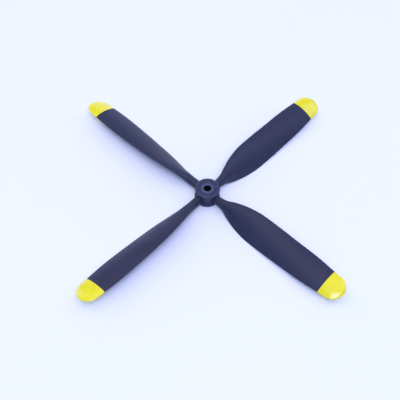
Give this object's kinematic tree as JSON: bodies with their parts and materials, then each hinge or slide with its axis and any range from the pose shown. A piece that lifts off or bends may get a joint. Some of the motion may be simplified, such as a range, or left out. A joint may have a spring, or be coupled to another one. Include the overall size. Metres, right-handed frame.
{
  "type": "model aircraft propeller",
  "caption": "Model aircraft propeller: twisted, cambered blades with round yellow tips, held by round shanks in a two-part flanged hub around a shaft bush.",
  "frame": {"origin": "centre of the hub's rear face, on the shaft's axis", "axes": "+Z along the shaft's axis towards the front of the aircraft, +X along blade_1"},
  "size_m": [0.3556, 0.3556, 0.0175],
  "materials": {
    "blade_plastic": "satin",
    "hub_plastic": "satin",
    "tip_paint": "gloss",
    "bush_metal": "satin",
    "screw_steel": "satin"
  },
  "bodies": {
    "hub": {"hub_rear": "hub_plastic", "hub_front": "hub_plastic", "shaft_bush": "bush_metal", "hub_screw_1": "screw_steel", "hub_screw_2": "screw_steel", "hub_screw_3": "screw_steel", "hub_screw_4": "screw_steel"},
    "blade_1": {"blade_1": "blade_plastic"},
    "blade_2": {"blade_2": "blade_plastic"},
    "blade_3": {"blade_3": "blade_plastic"},
    "blade_4": {"blade_4": "blade_plastic"}
  },
  "joints": [
    {"name": "pitch_1", "type": "hinge", "parent": "hub", "child": "blade_1", "pos_m": [0, 0, 0.008], "axis": [1, 0, 0], "range_deg": [-6, 6]},
    {"name": "pitch_2", "type": "hinge", "parent": "hub", "child": "blade_2", "pos_m": [0, 0, 0.008], "axis": [0, 1, 0], "range_deg": [-6, 6]},
    {"name": "pitch_3", "type": "hinge", "parent": "hub", "child": "blade_3", "pos_m": [0, 0, 0.008], "axis": [-1, 0, 0], "range_deg": [-6, 6]},
    {"name": "pitch_4", "type": "hinge", "parent": "hub", "child": "blade_4", "pos_m": [0, 0, 0.008], "axis": [0, -1, 0], "range_deg": [-6, 6]}
  ]
}
